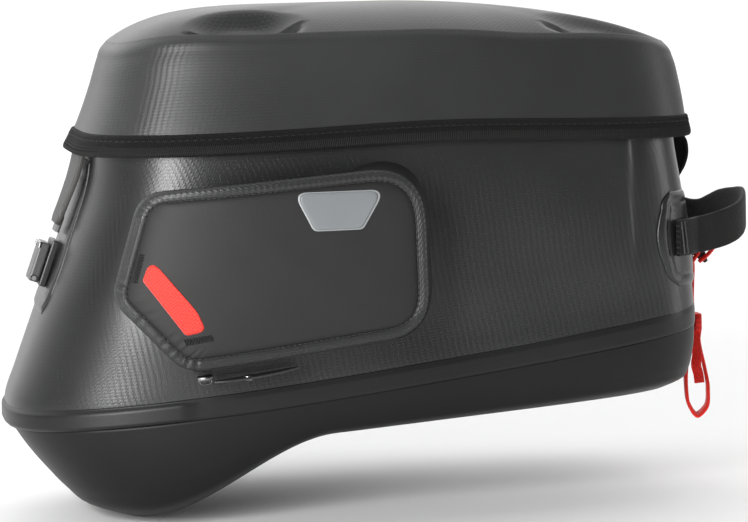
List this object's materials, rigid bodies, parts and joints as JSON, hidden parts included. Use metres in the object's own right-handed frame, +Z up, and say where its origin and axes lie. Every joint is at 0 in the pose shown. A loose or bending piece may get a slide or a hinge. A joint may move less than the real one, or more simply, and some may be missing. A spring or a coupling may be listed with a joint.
{
  "type": "motorcycle tank bag",
  "caption": "Semi-rigid waterproof tank bag with a clamshell lid, moulded base, side pockets, grab handle, nose buckle, red release loop and a tank-ring adapter.",
  "frame": {"origin": "centre of the tank-ring adapter's flat underside", "axes": "+X towards the grab handle, -X towards the deep nose, -Y to the near pocket, +Z up with the lid rim level"},
  "size_m": [0.4616, 0.261, 0.2958],
  "materials": {
    "shell_fabric": "satin coated black fabric with a fine woven grain",
    "base_skin": "smooth moulded foam skin, semi-matt black",
    "black_tape": "ribbed grosgrain tape and webbing",
    "pocket_fabric": "padded coated fabric, matt dark grey",
    "red_webbing": "bright red woven webbing",
    "reflective_film": "retro-reflective grey film, heat pressed",
    "black_plastic": "moulded black nylon",
    "grey_plastic": "moulded dark grey acetal",
    "steel": "plain bright steel"
  },
  "bodies": {
    "bag": {"base_shell": "base_skin", "floor_plate": "black_plastic", "tank_ring_adapter": "black_plastic", "adapter_screw_1": "steel", "adapter_screw_2": "steel", "adapter_screw_3": "steel", "adapter_screw_4": "steel", "body_shell": "shell_fabric", "weld_band": "base_skin", "mouth_frame": "black_plastic", "front_patch": "shell_fabric", "buckle_base": "black_plastic", "buckle_pin": "steel", "handle_patch_near": "shell_fabric", "handle_patch_far": "shell_fabric", "handle_anchor_near": "black_tape", "handle_anchor_far": "black_tape", "hinge_strap": "black_tape", "strap_keeper": "black_plastic", "pocket_gusset_near": "pocket_fabric", "pocket_panel_near": "pocket_fabric", "pocket_binding_near": "black_tape", "pocket_zip_near": "black_tape", "reflective_patch_near": "reflective_film", "accent_loop_near": "red_webbing", "pocket_gusset_far": "pocket_fabric", "pocket_panel_far": "pocket_fabric", "pocket_binding_far": "black_tape", "pocket_zip_far": "black_tape", "reflective_patch_far": "reflective_film", "accent_loop_far": "red_webbing"},
    "lid": {"lid_shell": "shell_fabric", "lid_binding": "black_tape"},
    "closure": {"closure_strap": "black_tape", "closure_hook": "grey_plastic"},
    "lever": {"buckle_lever": "grey_plastic"},
    "handle": {"handle_strap": "black_tape"},
    "release": {"release_strap": "red_webbing", "release_loop": "red_webbing"},
    "latch": {"latch_slide": "grey_plastic"},
    "slider_near": {"zip_slider_near": "steel"},
    "puller_near": {"zip_puller_near": "black_plastic"},
    "slider_far": {"zip_slider_far": "steel"},
    "puller_far": {"zip_puller_far": "black_plastic"}
  },
  "joints": [
    {"name": "lid_hinge", "type": "hinge", "parent": "bag", "child": "lid", "pos_m": [0.1345, 0, 0.1515], "axis": [0, 1, 0], "range_deg": [0, 95]},
    {"name": "closure_swing", "type": "hinge", "parent": "lid", "child": "closure", "pos_m": [-0.2285, 0, 0.1495], "axis": [0, 1, 0], "range_deg": [0, 60], "stiffness_Nm_per_rad": 0.02},
    {"name": "buckle_lever_hinge", "type": "hinge", "parent": "bag", "child": "lever", "pos_m": [-0.25656, 0, 0.078], "axis": [0, 1, 0], "range_deg": [-95, 0]},
    {"name": "handle_swing", "type": "hinge", "parent": "bag", "child": "handle", "pos_m": [0.139, 0, 0.092], "axis": [0, 1, 0], "range_deg": [-60, 60]},
    {"name": "release_swing", "type": "hinge", "parent": "bag", "child": "release", "pos_m": [0.1415, -0.03, 0.072], "axis": [0, 1, 0], "range_deg": [-60, 0]},
    {"name": "latch_slide_travel", "type": "slide", "parent": "bag", "child": "latch", "axis": [1, 0, 0], "range_m": [0, 0.008]},
    {"name": "zip_travel_near", "type": "slide", "parent": "bag", "child": "slider_near", "axis": [0.9913, -0.0619, 0.1158], "range_m": [0, 0.08]},
    {"name": "puller_swing_near", "type": "hinge", "parent": "slider_near", "child": "puller_near", "pos_m": [-0.16689, -0.11144, 0.02548], "axis": [0, 1, 0], "range_deg": [0, 95]},
    {"name": "zip_travel_far", "type": "slide", "parent": "bag", "child": "slider_far", "axis": [0.9913, 0.0619, 0.1158], "range_m": [0, 0.08]},
    {"name": "puller_swing_far", "type": "hinge", "parent": "slider_far", "child": "puller_far", "pos_m": [-0.16689, 0.11144, 0.02548], "axis": [0, 1, 0], "range_deg": [0, 95]}
  ]
}
